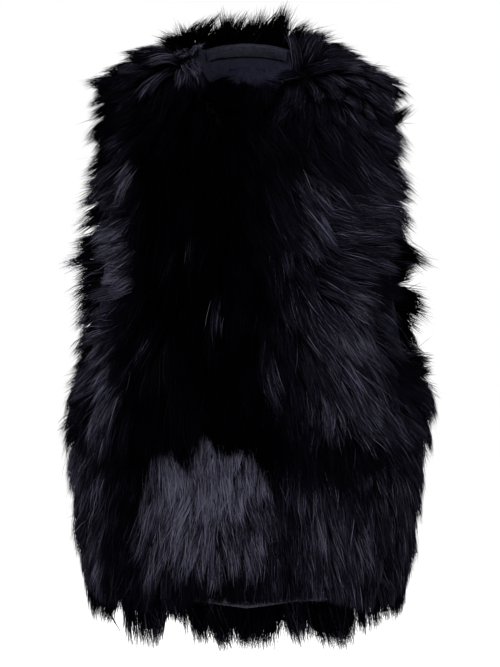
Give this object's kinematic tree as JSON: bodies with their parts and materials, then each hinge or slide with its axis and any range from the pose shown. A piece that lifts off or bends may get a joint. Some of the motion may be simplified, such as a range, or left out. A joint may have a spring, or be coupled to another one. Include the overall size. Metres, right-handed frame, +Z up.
{
  "type": "sleeveless fur vest",
  "caption": "Hip-length sleeveless vest of long-haired black fur, filled out with no wearer; lapped front, open neck, armholes and hem, longer back.",
  "frame": {"origin": "midway between the inner ends of the two shoulder seams, where the vest rests on its wearer", "axes": "+Z up, -Y to the front of the vest, -X to the wearer's right"},
  "size_m": [0.4742, 0.3112, 0.8417],
  "materials": {
    "leather": "satin",
    "fur": "long glossy hair",
    "label": "woven"
  },
  "bodies": {
    "root": {"front_right_upper_skin": "leather", "front_right_upper_fur": "fur", "front_right_lower_skin": "leather", "front_right_lower_fur": "fur", "front_left_upper_skin": "leather", "front_left_upper_fur": "fur", "front_left_lower_skin": "leather", "front_left_lower_fur": "fur", "back_skin": "leather", "back_fur": "fur", "hem_binding_right": "leather", "hem_binding_left": "leather", "hem_binding_back": "leather", "neck_facing": "leather", "label": "label"}
  },
  "joints": []
}
